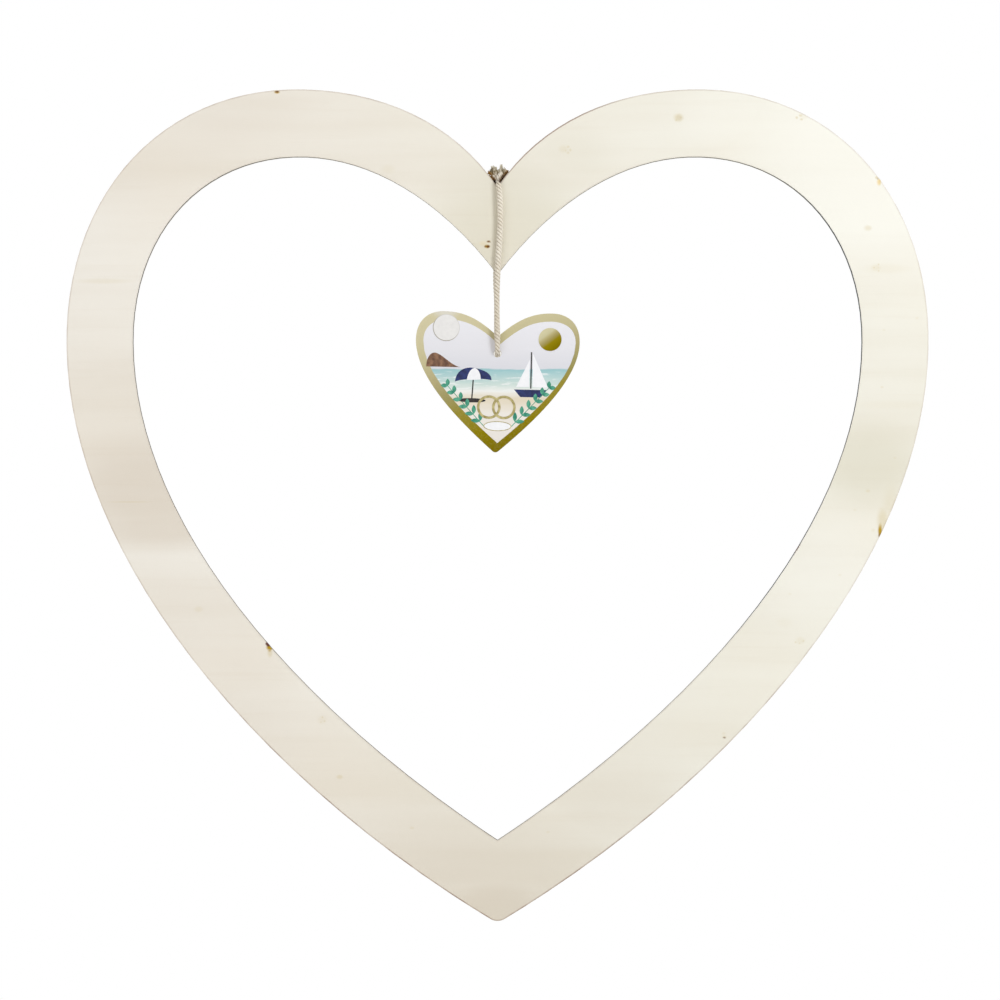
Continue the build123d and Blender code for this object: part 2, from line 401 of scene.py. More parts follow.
# Cotton cord, three strands laid to the left, looped over the notch and through the tag's hole.
# It leaves the knot behind the notch, runs down the front, round through the hole and up the back
# to the knot again.
cord_diameter = 0.006
cord_lay = 0.0102
cord_route = [
    (0.0, 5.8, 7.7), (0.1, 1.5, 5.6), (0.2, -6.2, 5.7), (1.8, -6.4, -3.0), (2.9, -5.9, -34.0),
    (-0.5, -5.9, -84.0), (-0.8, -5.9, -118.0), (0.0, -5.6, -147.0), (0.0, -3.8, -153.8),
    (0.0, 2.0, -153.8), (0.0, 6.6, -156.2), (-0.3, 6.4, -147.0), (-0.6, 5.9, -126.0), (-0.5, 5.9, -104.0),
    (-1.7, 5.9, -86.0), (0.2, 5.9, -40.0), (0.0, 5.8, 4.6),
]


def mesh_of(curve):
    """The mesh that a curve draws."""
    holder = put_in_scene(curve.name, curve)
    bpy.context.view_layer.update()
    mesh = bpy.data.meshes.new_from_object(holder.evaluated_get(bpy.context.evaluated_depsgraph_get()))
    bpy.data.objects.remove(holder)
    return mesh


def smooth_line(control_points, spacing):
    """Points along the smooth line that a cord takes past its control points, given in millimetres."""
    curve = bpy.data.curves.new("line", "CURVE")
    curve.dimensions = "3D"
    spline = curve.splines.new("NURBS")
    spline.points.add(len(control_points) - 1)
    for point, place in zip(spline.points, control_points):
        point.co = (*(Vector(place) / 1000), 1)
    spline.order_u = 3
    spline.use_endpoint_u = True
    spline.resolution_u = 150
    traced = mesh_of(curve)
    points = [traced.vertices[0].co.copy()]
    for vert in traced.vertices:
        if (vert.co - points[-1]).length >= spacing:
            points.append(vert.co.copy())
    bpy.data.meshes.remove(traced)
    return points


def travelling_axes(points):
    """For each point: the way along, and two axes across it that turn no more than the line does."""
    axes = []
    across = None
    for index, point in enumerate(points):
        along = (points[min(index + 1, len(points) - 1)] - points[max(index - 1, 0)]).normalized()
        if across is None:
            across = along.orthogonal().normalized()
        across = (across - along * across.dot(along)).normalized()
        axes.append((along, across, along.cross(across)))
    return axes


def tube_mesh(name, lines, radius, ridges=0, twist=0.0):
    """Round tubes along lists of points.

    With ridges, their section is lobed and turns as it goes, like twisted yarn.
    """
    curve = bpy.data.curves.new(name, "CURVE")
    curve.dimensions = "3D"
    curve.use_fill_caps = True
    section = None
    if ridges:
        valley, crest = 0.88, 1.03
        ring = bpy.data.curves.new(name + "_section", "CURVE")
        outline = ring.splines.new("POLY")
        outline.points.add(ridges * 3 - 1)
        for index, point in enumerate(outline.points):
            angle = 2 * math.pi * index / (ridges * 3)
            reach = radius * (valley if index % 3 == 0 else crest)
            point.co = (reach * math.cos(angle), reach * math.sin(angle), 0, 1)
        outline.use_cyclic_u = True
        section = put_in_scene(name + "_section", ring)
        curve.bevel_mode = "OBJECT"
        curve.bevel_object = section
    else:
        curve.bevel_depth = radius
        curve.bevel_resolution = 1
    for line, widths in lines:
        spline = curve.splines.new("POLY")
        spline.points.add(len(line) - 1)
        travelled = 0.0
        for index, point in enumerate(spline.points):
            if index:
                travelled += (line[index] - line[index - 1]).length
            point.co = (*line[index], 1)
            point.radius = widths[index]
            point.tilt = twist * travelled
    mesh = mesh_of(curve)
    if section:
        bpy.data.objects.remove(section)
    bm = bmesh.new()
    bm.from_mesh(mesh)
    bmesh.ops.remove_doubles(bm, verts=bm.verts, dist=1e-7)
    bmesh.ops.recalc_face_normals(bm, faces=bm.faces)
    for face in bm.faces:
        face.smooth = True
    bm.to_mesh(mesh)
    bm.free()
    mesh.name = name
    return mesh


def laid_rope(name, points, diameter, lay, girths):
    """Three strands that wind round the line to the left; girths say how full the rope is at each point.

    Each vertex keeps how far it stands from the core, in rope radii, so that the grooves can be shaded.
    """
    axes = travelling_axes(points)
    strand_radius = diameter * 0.23
    offset = diameter * 0.264
    lines = []
    for strand in range(3):
        line = []
        travelled = 0.0
        for index, point in enumerate(points):
            if index:
                travelled += (point - points[index - 1]).length
            angle = 2 * math.pi * (strand / 3 - travelled / lay)
            across, beside = axes[index][1:]
            out = across * math.cos(angle) + beside * math.sin(angle)
            line.append(point + out * offset * girths[index])
        lines.append((line, girths))
    rope = tube_mesh(name, lines, strand_radius, ridges=7, twist=math.pi / diameter)
    core_line = KDTree(len(points))
    for index, point in enumerate(points):
        core_line.insert(point, index)
    core_line.balance()
    from_core = rope.attributes.new("from_core", "FLOAT", "POINT")
    for vert in rope.vertices:
        index, away = core_line.find(vert.co)[1:]
        from_core.data[vert.index].value = away / (diameter / 2 * girths[index])
    return rope


def cotton_finish(name):
    """Off-white cotton with fine hairs, dingy here and there, with painted shade down in its grooves."""
    material, tree, shader = bare_finish(name, 0.85, 0.2)
    shader.inputs["Sheen Weight"].default_value = 0.25
    shader.inputs["Sheen Roughness"].default_value = 0.5
    hairs = drawn_noise(tree, (2600, 2600, 700), detail=4, roughness=0.65)
    dinge = drawn_noise(tree, (90, 90, 60), detail=3)
    colour = graded(tree, hairs, [
        (0.3, tone(222, 212, 193)), (0.55, tone(244, 236, 221)), (0.75, tone(251, 247, 235)),
    ])
    colour = laid_over(tree, ranged(tree, dinge, 0.45, 0.7, 0.0, 0.35), colour, tone(214, 198, 170))
    # Painted shade deep in the grooves between the strands
    groove_shade = ranged(tree, own_attribute(tree, "from_core"), 0.54, 0.9, 0.72, 0.0)
    colour = laid_over(tree, groove_shade, colour, tone(140, 122, 94))
    raised(tree, shader, hairs, 0.5, 0.00015)
    return material, tree, shader, colour


cotton, tree, shader, colour = cotton_finish("cotton")
place = part_axes(tree)
# Painted shade on the front of the cord where it crosses into the notch: dark brown at its sides, lighter in
# the middle
at_crossing = ranged(tree, place["Z"], 0.0022, 0.0036, 0.0, 1.0)
off_middle = ranged(tree, reckon(tree, "ABSOLUTE", place["X"], 0.0), 0.0009, 0.002, 0.3, 0.97)
in_front = ranged(tree, place["Y"], 0.001, 0.004, 1.0, 0.0)
crossing_shade = reckon(tree, "MULTIPLY", reckon(tree, "MULTIPLY", at_crossing, off_middle), in_front)
colour = laid_over(tree, crossing_shade, colour, tone(58, 30, 16))
# Painted shade: the cord darker from about 70 mm below the notch downwards
low_run_shade = ranged(tree, place["Z"], -0.088, -0.07, 0.16, 0.0)
colour = laid_over(tree, low_run_shade, colour, tone(188, 174, 150))
tree.links.new(colour, shader.inputs["Base Color"])
cord_line = smooth_line(cord_route, spacing=0.0006)
# Where the cord is drawn thin: place, reach and the share of its girth lost
squeezes = [
    (Vector((0.0003, -0.0015, 0.0046)), 0.016, 0.3), (Vector((0, -0.003, -0.1525)), 0.013, 0.27),
    (Vector((-0.0006, 0, -0.112)), 0.03, 0.16),
]
girths = []
for point in cord_line:
    girths.append(1.0)
    for place, reach, share in squeezes:
        girths[-1] -= share * max(0.0, 1 - (point - place).length / reach)
cord_mesh = laid_rope("laid_cord", cord_line, cord_diameter, cord_lay, girths)
coat(cord_mesh, cotton)
cord = put_in_scene("laid_cord", cord_mesh)
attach(cord, "cord_loop")
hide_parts("hanging_cord")


# Knot behind the notch: the same cord wound three times round itself and drawn tight, lying level.
# It is tied in the loop's two ends, and is what keeps the loop closed.
knot_turns = 3
knot_pitch = 5.8
knot_coil_radius = 3.45
knot_y = 9.2
knot_z = 8.0
notch_slope = math.radians(55.8)
turn_steps = 12
turn_overlap = 1.2
end_tuck, end_back, end_drop = 1.4, 0.6, 0.4
knot_end = knot_turns * knot_pitch / 2 - end_tuck
knot_route = [(knot_end, knot_y + end_back, knot_z - end_drop)]
for step in range(knot_turns * turn_steps + 1):
    angle = 2 * math.pi * step / turn_steps + math.pi / 2
    sideways = (knot_turns / 2 - step / turn_steps) * (knot_pitch - turn_overlap)
    knot_route.append((
        sideways, knot_y + knot_coil_radius * math.cos(angle), knot_z + knot_coil_radius * math.sin(angle),
    ))
knot_route.append((-knot_end, knot_y + end_back, knot_z - end_drop))
front_turn = [(-2.4, 6.2, 4.8), (-1.2, 1.4, 6.6), (0.3, -1.5, 8.6), (1.7, 0.6, 11.4), (3.4, 6.4, 14.4)]


def notch_shaded(tree, colour):
    """Painted shade on the cotton in the notch: brown where it lies in it, near black deep in it and up its
    right side.
    """
    place = part_axes(tree)
    aside = reckon(tree, "MULTIPLY", reckon(tree, "ABSOLUTE", place["X"], 0.0), math.sin(notch_slope))
    inside = reckon(tree, "SUBTRACT", reckon(tree, "MULTIPLY", place["Z"], math.cos(notch_slope)), aside)
    ragged = reckon(tree, "SUBTRACT", drawn_noise(tree, (420, 420, 420), detail=3), 0.5)
    ragged_reach = 0.003
    inside = reckon(tree, "ADD", inside, reckon(tree, "MULTIPLY", ragged, ragged_reach))
    facing = ranged(tree, place["Y"], 0.0086, 0.0104, 1.0, 0.08)
    notch_shade = reckon(tree, "MULTIPLY", facing, ranged(tree, inside, 0.0014, 0.0046, 0.96, 0.0))
    # Painted shade, brown, where the cotton lies in the notch
    colour = laid_over(tree, notch_shade, colour, tone(156, 108, 4))
    low_down = ranged(tree, place["Z"], 0.006, 0.011, 1.0, 0.12)
    right_side = ranged(tree, place["X"], 0.001, 0.003, 0.0, 1.0)
    right_up = reckon(tree, "MULTIPLY", right_side, ranged(tree, place["Z"], 0.011, 0.019, 0.95, 0.3))
    # Painted shade, near black, deep in the notch and up its right side
    deep_inside = ranged(tree, inside, 0.0009, 0.0026, 0.95, 0.0)
    deep_shade = reckon(tree, "MULTIPLY", deep_inside, reckon(tree, "MAXIMUM", low_down, right_up))
    return laid_over(tree, reckon(tree, "MULTIPLY", facing, deep_shade), colour, tone(40, 12, 4))


knot_cotton, tree, shader, colour = cotton_finish("knot_cotton")
tree.links.new(notch_shaded(tree, colour), shader.inputs["Base Color"])
knot_mesh = bpy.data.meshes.new("wound_knot")
joined = bmesh.new()
for route, girth in ((knot_route, 0.97), (front_turn, 0.66)):
    line = smooth_line(route, spacing=0.0005)
    rope = laid_rope("turn", line, cord_diameter * girth, cord_lay * girth, [1.0] * len(line))
    joined.from_mesh(rope)
    bpy.data.meshes.remove(rope)
joined.to_mesh(knot_mesh)
joined.free()
coat(knot_mesh, knot_cotton)
knot = put_in_scene("wound_knot", knot_mesh)
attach(knot, "cord_loop")
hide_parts("cord_knot")


# Two cut ends of the cord above the knot, each opened into bundles of yarn that fray at their tips.
# They stand up in the notch behind the crossing, fanned to the left and the right.
frayed_cotton, tree, shader = bare_finish("frayed_cotton", 0.9, 0.15)
shader.inputs["Sheen Weight"].default_value = 0.25
shader.inputs["Sheen Roughness"].default_value = 0.5
wisps = drawn_noise(tree, (1000, 1000, 220), detail=3, roughness=0.6)
frayed_colour = graded(tree, wisps, [
    (0.36, tone(76, 56, 24)), (0.46, tone(164, 150, 118)),
    (0.56, tone(220, 211, 192)), (0.68, tone(240, 233, 218)),
])
height = part_axes(tree)["Z"]
# Painted shade at the foot of the frayed ends, down in the notch
shaded_foot = ranged(tree, height, 0.0115, 0.017, 0.7, 0.0)
frayed_colour = laid_over(tree, shaded_foot, frayed_colour, tone(126, 94, 34))
# Paler towards the tips
paler_tips = ranged(tree, height, 0.018, 0.0215, 0.0, 0.55)
frayed_colour = laid_over(tree, paler_tips, frayed_colour, tone(238, 232, 212))
tree.links.new(notch_shaded(tree, frayed_colour), shader.inputs["Base Color"])
raised(tree, shader, wisps, 0.5, 0.0002)
draw = random.Random(11)
yarn_radius = 0.00046
# Rings of yarns in a bundle: their number, radius and turn, in yarns
yarn_rings = ((1, 0.0, 0.0), (4, 0.00052, 0.5), (7, 0.00104, 0.0))
yarn_turn = 2.4
fray_start = 0.55
fray_reach = 0.0008
fray_opening = 0.2
fray_thinning = 0.4
hairs_per_bundle = 6
hair_steps = 4
hair_length = 0.0022
root_out, root_step, root_front, root_rise = 1.2, 0.8, 0.6, 2.8
# Each bundle's tip in mm, and its girth
tail_ends = {
    "cord_tail_left": [
        ((-9.5, 9.4, 16.4), 1.1), ((-6.8, 10.8, 19.6), 1.1), ((-4.7, 8.4, 21.8), 1.1),
        ((-2.6, 9.8, 21.2), 1.05), ((-0.6, 9.2, 19.8), 1.0),
    ],
    "cord_tail_right": [
        ((1.5, 9.8, 19.2), 0.95), ((4.1, 8.6, 23.5), 0.9), ((5.6, 10.4, 20.2), 1.05),
        ((8.1, 8.6, 19.3), 1.1), ((10.6, 8.4, 17.4), 1.05), ((11.8, 9.2, 16.0), 1.0),
    ],
}
for node, bundles in tail_ends.items():
    side = -1 if node.endswith("left") else 1
    yarns = []
    for number, (tip, girth) in enumerate(bundles):
        root = (side * (root_out + root_step * (number % 3)), knot_y - root_front, knot_z + root_rise)
        middle = (
            root[0] * 0.55 + tip[0] * 0.45, (root[1] + tip[1]) / 2, root[2] + (tip[2] - root[2]) * 0.6,
        )
        bundle_line = smooth_line([root, middle, tip], spacing=0.0006)
        axes = travelling_axes(bundle_line)
        for count, ring, turned in yarn_rings:
            for yarn in range(count):
                begin = 2 * math.pi * (yarn + turned) / count
                spread = draw.uniform(0.1, 1.0)
                bend = draw.uniform(0, 2 * math.pi)
                last = len(bundle_line) - draw.randint(0, 3)
                line = []
                widths = []
                for index in range(last):
                    share = index / (len(bundle_line) - 1)
                    opened = max(0.0, share - fray_start) / (1 - fray_start)
                    angle = begin - yarn_turn * share
                    across, beside = axes[index][1:]
                    out = (across * math.cos(angle) + beside * math.sin(angle)) * ring * girth
                    stray = (across * math.cos(bend) + beside * math.sin(bend)) * fray_reach * spread
                    line.append(bundle_line[index] + out * (1 + fray_opening * opened) + stray * opened**2)
                    widths.append(girth * (1.0 - fray_thinning * opened))
                yarns.append((line, widths))
        for _ in range(hairs_per_bundle):
            start = draw.randint(len(bundle_line) // 3, len(bundle_line) - 4)
            along, across, beside = axes[start]
            turn = draw.uniform(0, 2 * math.pi)
            away = across * math.cos(turn) + beside * math.sin(turn)
            sag = draw.uniform(0.0006, 0.0016)
            line = []
            widths = []
            for step in range(hair_steps + 1):
                out = away * (0.001 * girth + sag * step / hair_steps)
                line.append(bundle_line[start] + out + along * hair_length * step / hair_steps)
                widths.append(0.22 - 0.03 * step)
            yarns.append((line, widths))
    tail_mesh = tube_mesh(node + "_frayed", yarns, yarn_radius)
    coat(tail_mesh, frayed_cotton)
    tail = put_in_scene(node + "_frayed", tail_mesh)
    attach(tail, "cord_loop")
    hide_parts(node)


# Heart tag: greyboard with a plain white paper on its back, die-cut and punched for the cord.
# Its cut edge shows grey between the two papers.
greyboard, tree, shader = bare_finish("greyboard", 0.9, 0.15)
pulp = drawn_noise(tree, (500, 500, 500), detail=4, roughness=0.65)
pulp_colour = graded(tree, pulp, [
    (0.3, tone(150, 146, 138)), (0.55, tone(176, 172, 163)), (0.75, tone(196, 192, 184)),
])
tree.links.new(pulp_colour, shader.inputs["Base Color"])
raised(tree, shader, pulp, 0.4, 0.0002)
plain_paper, tree, shader = bare_finish("plain_paper", 0.7, 0.25)
felt = drawn_noise(tree, (320, 320, 320), detail=4, roughness=0.6)
paper_colour = graded(tree, felt, [(0.3, tone(232, 229, 222)), (0.6, tone(243, 241, 236))])
tree.links.new(paper_colour, shader.inputs["Base Color"])
raised(tree, shader, felt, 0.2, 0.0001)
tag_layers = (("tag_board", greyboard, "greyboard"), ("tag_backing", plain_paper, "plain_paper"))
for node, material, slot in tag_layers:
    coat(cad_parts[node].data, material)


# Printed face of the tag: paper with a satin gold border that darkens towards the tip.
# Inside the border lies a seaside picture of plain shapes: a rock, a boat, a parasol, two rings,
# two leaf sprays and a bare plate, printed in thin layers one over another.
hole_z = -154.5
tag_tilt = math.radians(1.3)
tag_front_y = -0.8


def evenly(tree, value, low, high):
    """How far a value lies from low to high, as a share."""
    node = tree.nodes.new("ShaderNodeMapRange")
    node.inputs["From Min"].default_value = low
    node.inputs["From Max"].default_value = high
    tree.links.new(value, node.inputs["Value"])
    return node.outputs["Result"]


gold_paper, tree, shader = bare_finish("gold_border", 0.45, 0.02)
border_lean = 0.3
border_foot, border_top = -0.241, -0.101
place = part_axes(tree)
level = reckon(tree, "SUBTRACT", place["Z"], reckon(tree, "MULTIPLY", place["X"], border_lean))
gold_colour = graded(tree, evenly(tree, level, border_foot, border_top), [
    (0.0, tone(126, 110, 2)), (0.13, tone(141, 125, 8)), (0.3, tone(152, 139, 54)),
    (0.42, tone(160, 151, 98)), (0.55, tone(180, 169, 124)), (0.66, tone(194, 185, 144)),
    (0.77, tone(203, 194, 154)), (0.88, tone(209, 200, 163)), (1.0, tone(212, 203, 167)),
])
gleam = speckled(tree, part_coordinates(tree), [(-48.0, -115.0, 15.0, 8.0, 0.9)])
gold_colour = laid_over(tree, gleam, gold_colour, tone(223, 219, 207))
satin = drawn_noise(tree, (700, 700, 700), detail=3)
gold_colour = laid_over(tree, ranged(tree, satin, 0.45, 0.7, 0.0, 0.06), gold_colour, tone(224, 214, 160))
tree.links.new(gold_colour, shader.inputs["Base Color"])
coat(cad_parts["tag_print"].data, gold_paper)


def flat_shape(outlines, lift, thickness, material_index):
    """A flat closed shape on the tag, of that ink.

    Each outline is a list of corners: place, left handle and right handle, in mm from the tag's hole.
    """
    curve = bpy.data.curves.new("shape", "CURVE")
    curve.dimensions = "2D"
    curve.fill_mode = "BOTH"
    curve.extrude = thickness / 2000
    curve.resolution_u = 10
    for outline in outlines:
        spline = curve.splines.new("BEZIER")
        spline.bezier_points.add(len(outline) - 1)
        for point, (place, left, right) in zip(spline.bezier_points, outline):
            point.co = (place[0] / 1000, place[1] / 1000, 0)
            point.handle_left = (left[0] / 1000, left[1] / 1000, 0)
            point.handle_right = (right[0] / 1000, right[1] / 1000, 0)
        spline.use_cyclic_u = True
    mesh = mesh_of(curve)
    upright = Matrix.Rotation(math.pi / 2, 4, "X")
    hung = Matrix.Translation((0, 0, hole_z / 1000)) @ Matrix.Rotation(tag_tilt, 4, "Y")
    stood_off = Matrix.Translation((0, (tag_front_y - lift - thickness / 2) / 1000, 0))
    mesh.transform(hung @ stood_off @ upright)
    for polygon in mesh.polygons:
        polygon.material_index = material_index
    return mesh


def cornered(places):
    """Straight-sided outline."""
    outline = []
    for index, place in enumerate(places):
        before, after = Vector(places[index - 1]), Vector(places[(index + 1) % len(places)])
        here = Vector(place)
        outline.append((here, here + (before - here) / 3, here + (after - here) / 3))
    return outline


def oval(x, z, half_width, half_height):
    """Oval outline of four curves."""
    grip = 0.5523
    centre = Vector((x, z))
    outline = []
    for quarter in range(4):
        angle = quarter * math.pi / 2
        place = Vector((half_width * math.cos(angle), half_height * math.sin(angle)))
        pull = Vector((-half_width * math.sin(angle), half_height * math.cos(angle))) * grip
        outline.append(tuple(centre + spot for spot in (place, place - pull, place + pull)))
    return outline


def leaf(x, z, length, width, turn):
    """Pointed leaf outline from its stalk."""
    swing = Matrix.Rotation(turn, 2)
    stalk = Vector((x, z))
    tip = stalk + swing @ Vector((length, 0))
    from_stalk, from_tip = length * 0.3, -length * 0.35
    turns = (
        (stalk, (from_stalk, width), (from_stalk, -width)),
        (tip, (from_tip, -width), (from_tip, width)),
    )
    return [
        (place, place + swing @ Vector(left), place + swing @ Vector(right))
        for place, left, right in turns
    ]


def curved(*turns):
    """Outline of curves, its corners' places and handles given outright."""
    return [tuple(Vector(spot) for spot in turn) for turn in turns]


def heart_outline(width, spacing, top, widest, notch, tip, notch_slope, tip_slope, fullness, aside):
    """The tag's form of heart, as three curves a side."""
    shoulder, lobe, flank = fullness

    def pull(slope, reach):
        return Vector((math.cos(math.radians(slope)), math.sin(math.radians(slope)))) * reach

    notch_pull = pull(notch_slope, shoulder * math.hypot(spacing / 2, top - notch))
    tip_pull = pull(tip_slope, flank * math.hypot(width / 2, widest - tip))
    flip = Vector((-1, 1))
    notch_place, tip_place = Vector((0, notch)), Vector((0, tip))
    lobe_place, side_place = Vector((spacing / 2, top)), Vector((width / 2, widest))
    lobe_in = lobe_place - Vector((shoulder * spacing / 2, 0))
    lobe_out = lobe_place + Vector((lobe * (width - spacing) / 2, 0))
    side_up = side_place + Vector((0, lobe * (top - widest)))
    side_down = side_place - Vector((0, flank * (widest - tip)))
    turns = [
        (notch_place, notch_place + notch_pull * flip, notch_place + notch_pull),
        (lobe_place, lobe_in, lobe_out),
        (side_place, side_up, side_down),
        (tip_place, tip_place + tip_pull, tip_place + tip_pull * flip),
        (side_place * flip, side_down * flip, side_up * flip),
        (lobe_place * flip, lobe_out * flip, lobe_in * flip),
    ]
    shift = Vector((aside, 0))
    return [tuple(spot + shift for spot in turn) for turn in turns]


picture, tree, shader = bare_finish("seaside_print", 0.35, 0.4)
picture_foot, picture_top = -0.240, -0.120
swell_height = 0.006
swell = reckon(tree, "SUBTRACT", drawn_noise(tree, (30, 1, 260), detail=3), 0.5)
level = reckon(tree, "ADD", part_axes(tree)["Z"], reckon(tree, "MULTIPLY", swell, swell_height))
climb = evenly(tree, level, picture_foot, picture_top)
scenery = graded(tree, climb, [
    (0.0, tone(232, 226, 218)), (0.24, tone(238, 232, 224)), (0.36, tone(226, 214, 190)),
    (0.42, tone(240, 240, 236)), (0.47, tone(206, 222, 216)), (0.56, tone(168, 204, 206)),
    (0.585, tone(150, 196, 200)), (0.595, tone(219, 219, 225)), (0.75, tone(229, 228, 233)),
    (1.0, tone(236, 235, 240)),
])
foam = drawn_noise(tree, (60, 1, 420), detail=4, roughness=0.6)
above_beach = ranged(tree, climb, 0.40, 0.46, 0.0, 1.0)
in_sea = reckon(tree, "MULTIPLY", above_beach, ranged(tree, climb, 0.55, 0.58, 1.0, 0.0))
spray = reckon(tree, "MULTIPLY", in_sea, ranged(tree, foam, 0.52, 0.66, 0.0, 0.8))
scenery = laid_over(tree, spray, scenery, tone(243, 245, 244))
tree.links.new(scenery, shader.inputs["Base Color"])


def print_ink(name, colour, lighter):
    """A flat printed colour with the press's faint mottle."""
    material, tree, shader = bare_finish(name, 0.4, 0.35)
    mottle = drawn_noise(tree, (260, 260, 260), detail=3)
    tree.links.new(graded(tree, mottle, [(0.35, colour), (0.7, lighter)]), shader.inputs["Base Color"])
    return material


inks = {
    "picture": picture,
    "navy": print_ink("navy_ink", tone(22, 30, 74), tone(40, 54, 112)),
    "white": print_ink("white_ink", tone(243, 243, 246), tone(248, 248, 250)),
    "leaf": print_ink("leaf_ink", tone(38, 128, 104), tone(96, 176, 146)),
    "rust": print_ink("rust_ink", tone(96, 66, 50), tone(150, 112, 84)),
    "gold": print_ink("ring_gold_ink", tone(150, 136, 78), tone(206, 194, 140)),
    "dark": print_ink("dark_ink", tone(24, 22, 26), tone(54, 46, 44)),
}
picture_thickness = 0.03
ink_thickness = 0.02
middle_x = 1.4
picture_heart = heart_outline(
    width=141.6, spacing=95.5, top=30.7, widest=11.0, notch=8.0, tip=-83.2,
    notch_slope=42.0, tip_slope=40.6, fullness=(0.397, 0.623, 0.339), aside=1.6,
)
hole = oval(0, 0, 3.6, 3.6)
rock = curved(
    ((-66.0, -13.5), (-62.0, -13.5), (-66.0, -4.0)), ((-56.0, -1.0), (-61.0, 1.5), (-50.0, -3.0)),
    ((-34.0, -13.5), (-42.0, -12.5), (-44.0, -13.5)),
)
hull = cornered([(16.0, -33.0), (47.0, -33.0), (41.0, -40.0), (22.0, -40.0)])
mast = cornered([(31.0, -32.0), (32.2, -32.0), (32.2, 2.0), (31.0, 2.0)])
mainsail = cornered([(33.0, -30.5), (47.5, -30.5), (33.0, 0.5)])
foresail = cornered([(30.2, -30.5), (18.0, -30.5), (30.2, -5.0)])
parasol_shadow = oval(-23.0, -44.0, 13.0, 2.0)
parasol_pole = cornered([(-23.6, -44.0), (-22.4, -44.0), (-21.0, -17.0), (-22.2, -17.0)])
parasol_canopy = curved(
    ((-39.0, -27.0), (-34.0, -24.0), (-38.0, -15.0)), ((-20.5, -14.0), (-28.0, -12.5), (-13.0, -15.5)),
    ((-5.0, -25.0), (-5.0, -18.0), (-11.0, -23.0)),
)
canopy_panel = curved(
    ((-28.0, -25.2), (-26.0, -25.0), (-27.0, -18.0)), ((-20.5, -14.0), (-24.0, -14.0), (-17.5, -15.0)),
    ((-15.0, -24.4), (-15.5, -18.0), (-18.0, -25.0)),
)
# Outlines, layer above the paper and ink
shapes = [
    ([picture_heart, hole], 0, "picture"), ([rock], 1, "rust"), ([hull], 1, "navy"), ([mast], 2, "dark"),
    ([mainsail], 2, "white"), ([foresail], 2, "white"), ([parasol_shadow], 2, "dark"),
    ([parasol_pole], 3, "dark"), ([parasol_canopy], 4, "navy"), ([canopy_panel], 5, "white"),
]
ring_z, ring_outer, ring_inner = -50.0, 11.0, 8.7
for x, layer in ((-7.0, 6), (7.0, 7)):
    ring = [oval(x, ring_z, ring_outer, ring_outer), oval(x, ring_z, ring_inner, ring_inner)]
    shapes.append((ring, layer, "gold"))
plate_z = -67.5
shapes.append(([oval(middle_x, plate_z, 13.0, 4.6)], 4, "gold"))
shapes.append(([oval(middle_x, plate_z, 12.2, 3.9)], 5, "white"))
leaf_pairs = 6
for side, lean in ((-1, math.radians(134)), (1, math.radians(46))):
    for number in range(leaf_pairs):
        x = middle_x + side * (16.0 + 6.2 * number)
        z = -63.0 + 6.4 * number
        for bend in (-0.75, 0.75):
            shapes.append(([leaf(x, z, 9.0 - 0.5 * number, 2.6, lean + bend)], 3, "leaf"))
    stalk = [(12.0, -68.0), (12.6, -68.4), (49.0, -29.4), (48.6, -29.0)]
    shapes.append(([cornered([(middle_x + side * out, z) for out, z in stalk])], 2, "leaf"))
joined = bmesh.new()
for outlines, layer, ink in shapes:
    lift = picture_thickness + (layer - 1) * ink_thickness if layer else 0.0
    thickness = ink_thickness if layer else picture_thickness
    shape_mesh = flat_shape(outlines, lift, thickness, list(inks).index(ink))
    joined.from_mesh(shape_mesh)
    bpy.data.meshes.remove(shape_mesh)
bmesh.ops.remove_doubles(joined, verts=joined.verts, dist=1e-7)
artwork_mesh = bpy.data.meshes.new("tag_picture")
joined.to_mesh(artwork_mesh)
joined.free()
for material in inks.values():
    artwork_mesh.materials.append(material)
artwork = put_in_scene("tag_picture", artwork_mesh)
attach(artwork, "tag")


# Two round stickers on the printed face, bare: one white with a thin grey rim of painted shadow, one gold.
# The gold one is shaded from light at its upper left to dark at its lower right.
white_paper, tree, shader = bare_finish("white_sticker_paper", 0.45, 0.35)
grain_of_paper = drawn_noise(tree, (300, 300, 300), detail=3)
sticker_white = graded(tree, grain_of_paper, [(0.3, tone(230, 228, 226)), (0.7, tone(236, 234, 232))])
white_low, white_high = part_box("white_sticker")
white_centre = (white_low + white_high) / 2
rim_start, rim_full = 0.0117, 0.0120
from_centre = tree.nodes.new("ShaderNodeVectorMath")
from_centre.operation = "DISTANCE"
from_centre.inputs[1].default_value = white_centre
tree.links.new(part_coordinates(tree), from_centre.inputs[0])
on_rim = ranged(tree, from_centre.outputs["Value"], rim_start, rim_full, 0.0, 1.0)
place = part_axes(tree)
diagonal = reckon(tree, "ADD", place["X"], place["Z"])
middle = white_centre.x + white_centre.z
# The rim's painted shadow is strongest at the lower left, faint at the upper right
shadowed_side = ranged(tree, diagonal, middle - rim_full, middle + rim_full, 1.0, 0.3)
rim = reckon(tree, "MULTIPLY", on_rim, shadowed_side)
tree.links.new(laid_over(tree, rim, sticker_white, tone(168, 162, 150)), shader.inputs["Base Color"])
gold_foil, tree, shader = bare_finish("gold_sticker_foil", 0.4, 0.03)
gold_low, gold_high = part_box("gold_sticker")
gold_centre = (gold_low + gold_high) / 2
gold_radius = (gold_high.x - gold_low.x) / 2
slant = math.radians(36.5)
place = part_axes(tree)
rise = reckon(tree, "MULTIPLY", place["Z"], math.cos(slant))
rise = reckon(tree, "SUBTRACT", rise, reckon(tree, "MULTIPLY", place["X"], math.sin(slant)))
middle = gold_centre.z * math.cos(slant) - gold_centre.x * math.sin(slant)
shine = evenly(tree, rise, middle - gold_radius, middle + gold_radius)
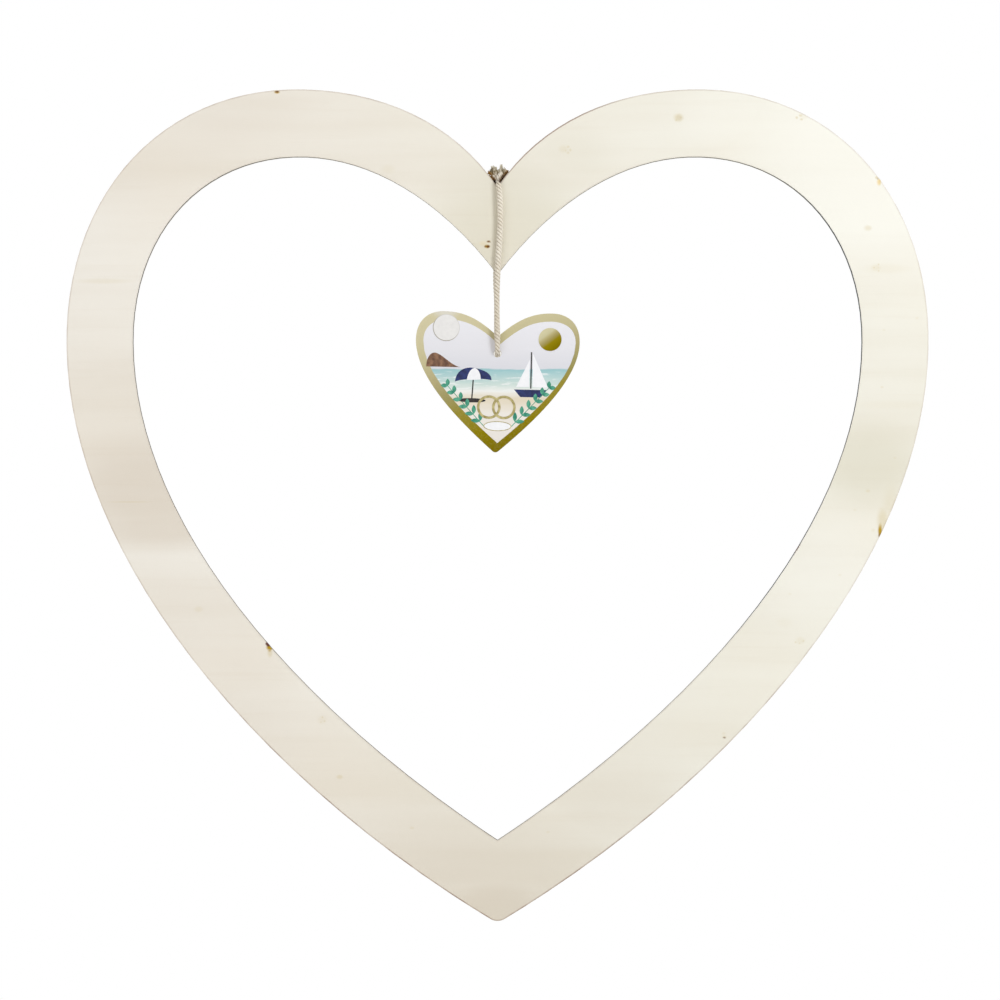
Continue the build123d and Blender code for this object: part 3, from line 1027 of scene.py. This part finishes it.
foil_colour = graded(tree, shine, [
    (0.1, tone(130, 114, 0)), (0.36, tone(147, 130, 8)), (0.54, tone(169, 156, 100)),
    (0.64, tone(186, 174, 122)), (0.75, tone(203, 196, 156)), (0.9, tone(211, 204, 165)),
])
tree.links.new(foil_colour, shader.inputs["Base Color"])
stickers = (("white_sticker", white_paper, "white_paper"), ("gold_sticker", gold_foil, "gold_foil"))
for node, material, slot in stickers:
    coat(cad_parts[node].data, material)


# Studio: a round pale floor well below the hanging heart and a white surround that throws a faintly warm
# light; in front a slightly cool key lamp and a fill lamp, behind one more lamp, all of them soft.
# The camera stands 1.6 m in front, level with the middle of the heart.
floor_radius = 2.5
floor_z = -1.6
floor_mesh = bpy.data.meshes.new("floor")
bm = bmesh.new()
bmesh.ops.create_circle(bm, cap_ends=True, segments=96, radius=floor_radius)
bmesh.ops.translate(bm, verts=bm.verts, vec=(0, 0, floor_z))
bm.to_mesh(floor_mesh)
bm.free()
floor = put_in_scene("floor", floor_mesh)
pale_floor, tree, shader = bare_finish("pale_floor", 0.9, 0.1)
shader.inputs["Base Color"].default_value = tone(240, 240, 238)
glow = tree.nodes.new("ShaderNodeEmission")
shown = tree.nodes.new("ShaderNodeLightPath")
pale = tree.nodes.new("ShaderNodeMixShader")
glow_share = 0.7
tree.links.new(ranged(tree, shown.outputs["Is Camera Ray"], 0.0, 1.0, 0.0, glow_share), pale.inputs["Fac"])
tree.links.new(shader.outputs["BSDF"], pale.inputs[1])
tree.links.new(glow.outputs["Emission"], pale.inputs[2])
tree.links.new(pale.outputs["Shader"], tree.nodes["Material Output"].inputs["Surface"])
floor_mesh.materials.append(pale_floor)

world = bpy.data.worlds.new("studio")
world.use_nodes = True
bpy.context.scene.world = world
tree = world.node_tree
background = tree.nodes["Background"]
rays = tree.nodes.new("ShaderNodeLightPath")
seen = reckon(tree, "MAXIMUM", rays.outputs["Is Camera Ray"], rays.outputs["Is Glossy Ray"])
seen = reckon(tree, "MAXIMUM", seen, rays.outputs["Is Transmission Ray"])
bounce_strength = 0.565
tree.links.new(ranged(tree, seen, 0.0, 1.0, bounce_strength, 1.0), background.inputs["Strength"])
warm_bounce, plain_white = [1.0, 0.982, 0.945, 1.0], [1.0, 1.0, 1.0, 1.0]
tree.links.new(laid_over(tree, seen, warm_bounce, plain_white), background.inputs["Color"])


def soft_lamp(name, place, target, size, watts, colour=(1.0, 1.0, 1.0)):
    """A round area lamp of that size, turned towards its target."""
    lamp = bpy.data.lights.new(name, "AREA")
    lamp.color = colour
    lamp.shape = "DISK"
    lamp.size = size
    lamp.energy = watts
    holder = put_in_scene(name, lamp)
    holder.location = place
    holder.rotation_euler = (Vector(target) - Vector(place)).to_track_quat("-Z", "Y").to_euler()


soft_lamp("key_lamp", (1.68, -2.0, 0.75), (0.05, 0, -0.25), 1.0, 32.6, (1.0, 1.035, 1.09))
soft_lamp("fill_lamp", (-1.7, -1.9, -0.1), (-0.1, 0, -0.3), 1.8, 8.5)
soft_lamp("back_lamp", (-0.8, 2.4, 0.4), (0, 0, -0.3), 1.6, 16)

camera = bpy.data.cameras.new("camera")
camera.sensor_width = 36.0
camera_distance = 1.6
view_width = 0.928
aim_x, front_face_y, aim_z = 0.0023, -0.0025, -0.2906
camera.lens = camera.sensor_width * camera_distance / view_width
camera_holder = put_in_scene("camera", camera)
camera_holder.location = (aim_x, front_face_y - camera_distance, aim_z)
camera_holder.rotation_euler = (math.pi / 2, 0, 0)
bpy.context.scene.camera = camera_holder
bpy.context.scene.view_settings.view_transform = "Standard"
